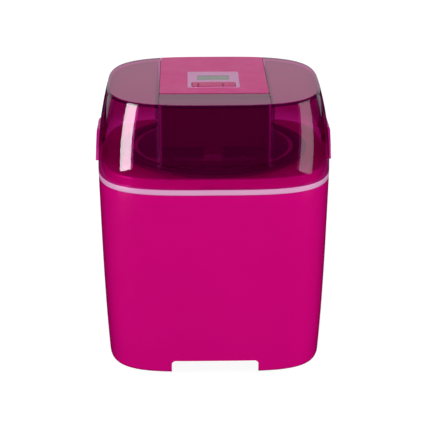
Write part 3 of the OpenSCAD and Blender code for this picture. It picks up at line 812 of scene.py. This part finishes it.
def motor_case():
    """The motor unit's lower case; its back follows the lid."""
    case = lofted("motor_case_skin", lid_rings(0.0, LID_LOW + 5))
    keep(case, channel_block("c", -PLAY, UNIT_LOW, PANEL_Z, UNIT_FRONT, DEPTH))
    room = lofted("room", lid_rings(2.6, LID_LOW + 5))
    keep(room, channel_block("r", -PLAY - 2.2, UNIT_LOW + 2.6, TOP_Z + 5, UNIT_FRONT + 2.2, DEPTH))
    cut(case, room)
    low, high = corners("cover_screws")
    for x in (low[0] + 2.8, high[0] - 2.8):
        for y in (low[1] + 2.8, high[1] - 2.8):
            join(case, rod("boss", 3.6, 2, UNIT_LOW + 1, PANEL_Z, at=(x, y), sides=32))
            cut(case, rod("bore", 1.7, 2, UNIT_LOW - 1, PANEL_Z + 1, at=(x, y), sides=32))
            cut(case, rod("well", 3.0, 2, UNIT_LOW - 1, UNIT_LOW + 10, at=(x, y), sides=32))
    plate_low, plate_high = corners("cord_plate")
    lip = 3.0
    half = plate_high[0] - lip
    sill = plate_low[2] + lip
    notch = [(-half, sill), (half, sill), (half, PANEL_Z + 1), (-half, PANEL_Z + 1)]
    cut(case, rod("shaft hole", SHAFT_HOLE_R, 2, UNIT_LOW - 1, UNIT_LOW + 4))
    cut(case, prism("notch", notch, 1, 60, DEPTH))
    soften(case, 0.3, segments=2, angle=50)
    return piece(case, "motor_unit", "motor_housing")


def control_panel():
    """The opaque cover that lies flush in the lid."""
    panel = lofted("control_panel_skin", lid_rings(0.0, LID_LOW + 5))
    keep(panel, channel_block("p", -PLAY, PANEL_Z, TOP_Z + 5, UNIT_FRONT, DEPTH))
    low, high = corners("panel_bezel")
    opening = rounded_rect(low[0] - 0.05, high[0] + 0.05, low[1] - 0.05, high[1] + 0.05, 2.05)
    cut(panel, prism("opening", opening, 2, PANEL_Z - 3, TOP_Z + 3))
    posts_low, posts_high = corners("board_screws")
    for x in (posts_low[0] + 2.2, posts_high[0] - 2.2):
        for y in (posts_low[1] + 2.2, posts_high[1] - 2.2):
            join(panel, rod("post", 2.8, 2, corners("circuit_board")[1][2], PANEL_Z + 1, at=(x, y), sides=32))
    soften(panel, 0.35, segments=3, angle=50)
    return piece(panel, "motor_unit", "control_panel")


def panel_bezel():
    """The light frame round the display and the keys."""
    low, high = corners("panel_bezel")
    bezel = prism("panel_bezel_skin", rounded_rect(low[0], high[0], low[1], high[1], 2.0), 2, low[2], high[2])
    glass_low, glass_high = corners("lcd_lens")
    window = rounded_rect(glass_low[0], glass_high[0], glass_low[1], glass_high[1], 0.4)
    cut(bezel, prism("window", window, 2, low[2] - 2, high[2] + 2))
    left, right = corners("button_left")[0], corners("button_right")[1]
    y0, y1 = left[1] + KEY_LIP - 0.3, right[1] - KEY_LIP + 0.3
    slot = rounded_rect(left[0] - 0.4, right[0] + 0.4, y0, y1, 0.8)
    cut(bezel, prism("slot", slot, 2, low[2] - 2, high[2] + 2))
    soften(bezel, 0.25, segments=3, angle=50)
    return piece(bezel, "motor_unit", "panel_bezel")


def display_window():
    """The display's window, slightly sunk in the bezel."""
    low, high = corners("lcd_lens")
    lens = prism("lcd_lens_skin", rounded_rect(low[0], high[0], low[1], high[1], 0.4), 2, low[2], high[2])
    soften(lens, 0.15, segments=2, angle=50)
    return piece(lens, "motor_unit", "lcd_lens")


def key(body):
    """One key cap with a lip under the bezel, a soft top edge and a stem."""
    low, high = corners(body)
    lip_top = PANEL_Z - 0.3
    y0, y1 = low[1] + KEY_LIP + 0.2, high[1] - KEY_LIP - 0.2
    face = rounded_rect(low[0] + 0.15, high[0] - 0.15, y0, y1, 0.7)
    cap = prism(body + "_cap", face, 2, lip_top - 1.6, high[2])
    soften(cap, 0.5, segments=4, angle=50)
    apply_modifiers(cap)
    flange = prism("flange", rounded_rect(low[0], high[0], low[1], high[1], 0.5), 2, lip_top - 1.5, lip_top)
    merge_meshes(cap, flange)
    mid = ((low[0] + high[0]) / 2, (low[1] + high[1]) / 2)
    merge_meshes(cap, rod("stem", 1.6, 2, low[2], lip_top - 1, at=mid, sides=32))
    cap.data.set_sharp_from_angle(angle=math.radians(35))
    return piece(cap, body, body)


def dome(side):
    """The silicone dome under a key: lip, thin skirt and pad."""
    low, high = corners("dome_" + side)
    x, y = (low[0] + high[0]) / 2, (low[1] + high[1]) / 2
    r, h = (high[0] - low[0]) / 2, high[2] - low[2]
    shape = [(0, 0), (1, 0), (1, 0.12), (0.93, 0.18), (0.72, 0.72)]
    shape += [(0.66, 0.8), (0.62, 0.95), (0.55, 1), (0, 1)]
    skirt = spun("dome_%s_soft" % side, [(r * a, low[2] + h * b) for a, b in shape], 48, at=(x, y))
    soften(skirt, 0)
    piece(skirt, "motor_unit", "dome_" + side)
    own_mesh(skirt)


# ---------------------------------------------------------------- build

housing_shell()
trim_ring()
bowl_collar()
rubber_feet()
lid_shell()
filler_flap()
latch(-1, "latch_left", "latch_left")
latch(1, "latch_right", "latch_right")
motor_case()
control_panel()
panel_bezel()
display_window()
for side in ("left", "middle", "right"):
    key("button_" + side)
    dome(side)


# ---------------------------------------------------------------- stage, light and camera

BEHIND = 0.5  # the backdrop's brightness where the camera sees it through clear plastic


def seen(tree, direct, behind):
    """The backdrop's glow: direct for the camera, behind through clear plastic, none for other rays."""
    path = tree.nodes.new("ShaderNodeLightPath")
    level = tree.nodes.new("ShaderNodeMapRange")
    level.inputs["To Min"].default_value = direct
    level.inputs["To Max"].default_value = behind
    tree.links.new(path.outputs["Transparent Depth"], level.inputs["Value"])
    only = tree.nodes.new("ShaderNodeMath")
    only.operation = "MULTIPLY"
    tree.links.new(level.outputs["Result"], only.inputs[0])
    tree.links.new(path.outputs["Is Camera Ray"], only.inputs[1])
    return only.outputs[0]


def floor():
    """A plain pale floor. Its white glow is for the camera only and lights nothing."""
    size = 4000
    square = [(-size, -size, 0), (size, -size, 0), (size, size, 0), (-size, size, 0)]
    obj = mesh_object("floor", square, [(0, 1, 2, 3)])
    n = Nodes("pale floor")
    shader = n.principled()
    tone = n.spread(n.noise(3), 0, 1)
    n.link(n.blend(tone, (0.16, 0.16, 0.16), (0.18, 0.18, 0.18)), shader.inputs["Base Color"])
    shader.inputs["Roughness"].default_value = 0.9
    shader.inputs["Specular IOR Level"].default_value = 0.0
    shader.inputs["Emission Color"].default_value = (1, 1, 1, 1)
    n.link(seen(n.tree, 0.92, BEHIND), shader.inputs["Emission Strength"])
    obj.data.materials.append(n.material)
    obj.visible_glossy = False


def softbox(name, place, aim, width, height, radiance):
    """A rectangular light that faces aim and doesn't show in reflections."""
    data = bpy.data.lights.new(name, "AREA")
    data.shape = "RECTANGLE"
    data.size = width
    data.size_y = height
    data.energy = radiance * math.pi * width * height
    obj = bpy.data.objects.new(name, data)
    obj.location = place
    direction = Vector(aim) - Vector(place)
    obj.rotation_euler = direction.to_track_quat("-Z", "Y").to_euler()
    obj.visible_camera = False
    obj.visible_glossy = False
    bpy.context.scene.collection.objects.link(obj)


def reflector(name, low, high, radiance, lean=0.0):
    """A plain white panel, as bright all over, that only shows in reflections; its top may lean along Y."""
    (x0, y0, z0), (x1, y1, z1) = low, high
    panel = [(x0, y0, z0), (x1, y1, z0), (x1, y1 + lean, z1), (x0, y0 + lean, z1)]
    obj = mesh_object(name, [[c / MM for c in p] for p in panel], [(0, 1, 2, 3)])
    n = Nodes(name)
    light = n.add("ShaderNodeEmission")
    light.inputs["Color"].default_value = (1, 1, 1, 1)
    light.inputs["Strength"].default_value = radiance
    n.link(light.outputs["Emission"], n.out.inputs["Surface"])
    obj.data.materials.append(n.material)
    obj.visible_camera = False
    obj.visible_diffuse = False
    obj.visible_transmission = False
    obj.visible_shadow = False


def studio():
    """White backdrop, soft light all round, and three plain white panels to mirror."""
    world = bpy.data.worlds.new("studio")
    bpy.context.scene.world = world
    world.use_nodes = True
    tree = world.node_tree
    tree.nodes.clear()
    out = tree.nodes.new("ShaderNodeOutputWorld")
    back = tree.nodes.new("ShaderNodeBackground")
    tree.links.new(seen(tree, 1.0, BEHIND), back.inputs["Strength"])
    tree.links.new(back.outputs["Background"], out.inputs["Surface"])
    back.inputs["Color"].default_value = (1, 1, 1, 1)

    middle = (0, 0, 0.12)
    softbox("overhead", (0, -0.3, 2.1), middle, 2.4, 2.2, 1.5)
    softbox("front", (0.1, -2.6, 0.25), middle, 2.6, 1.8, 5.6)
    softbox("left", (-2.3, 0, 0.8), middle, 2.0, 1.6, 3.0)
    softbox("right", (2.3, 0, 0.8), middle, 2.0, 1.6, 2.7)
    softbox("rear", (0, 2.5, 1.0), middle, 2.4, 1.6, 1.4)

    # What the glossy plastic mirrors: a strip light on the left, a softbox on the right, a wall behind
    reflector("strip light", (-0.65, -0.6, 0.08), (-0.65, -0.275, 0.8), 14.0, lean=0.16)
    reflector("right softbox", (0.65, -0.6, 0.06), (0.65, -0.2, 0.55), 2.5, lean=0.4)
    reflector("rear wall", (-1.6, 1.35, 0.0), (1.6, 1.35, 0.9), 0.6)


def camera():
    """The photograph's viewing angle: a long lens, 21.6 degrees above the table."""
    rise = math.radians(21.56)
    turn = math.radians(1.19)
    distance = 1.3922
    target = Vector((0, 0, 0.1275))
    data = bpy.data.cameras.new("camera")
    data.sensor_width = 36
    data.lens = 118.06
    data.shift_x = 0.0041
    obj = bpy.data.objects.new("camera", data)
    flat = distance * math.cos(rise)
    away = Vector((-flat * math.sin(turn), -flat * math.cos(turn), distance * math.sin(rise)))
    obj.location = target + away
    obj.rotation_euler = (target - obj.location).to_track_quat("-Z", "Y").to_euler()
    bpy.context.scene.collection.objects.link(obj)
    bpy.context.scene.camera = obj


floor()
studio()
camera()
scene = bpy.context.scene
scene.view_settings.view_transform = "Standard"
scene.cycles.transparent_max_bounces = 40
scene.cycles.max_bounces = 12
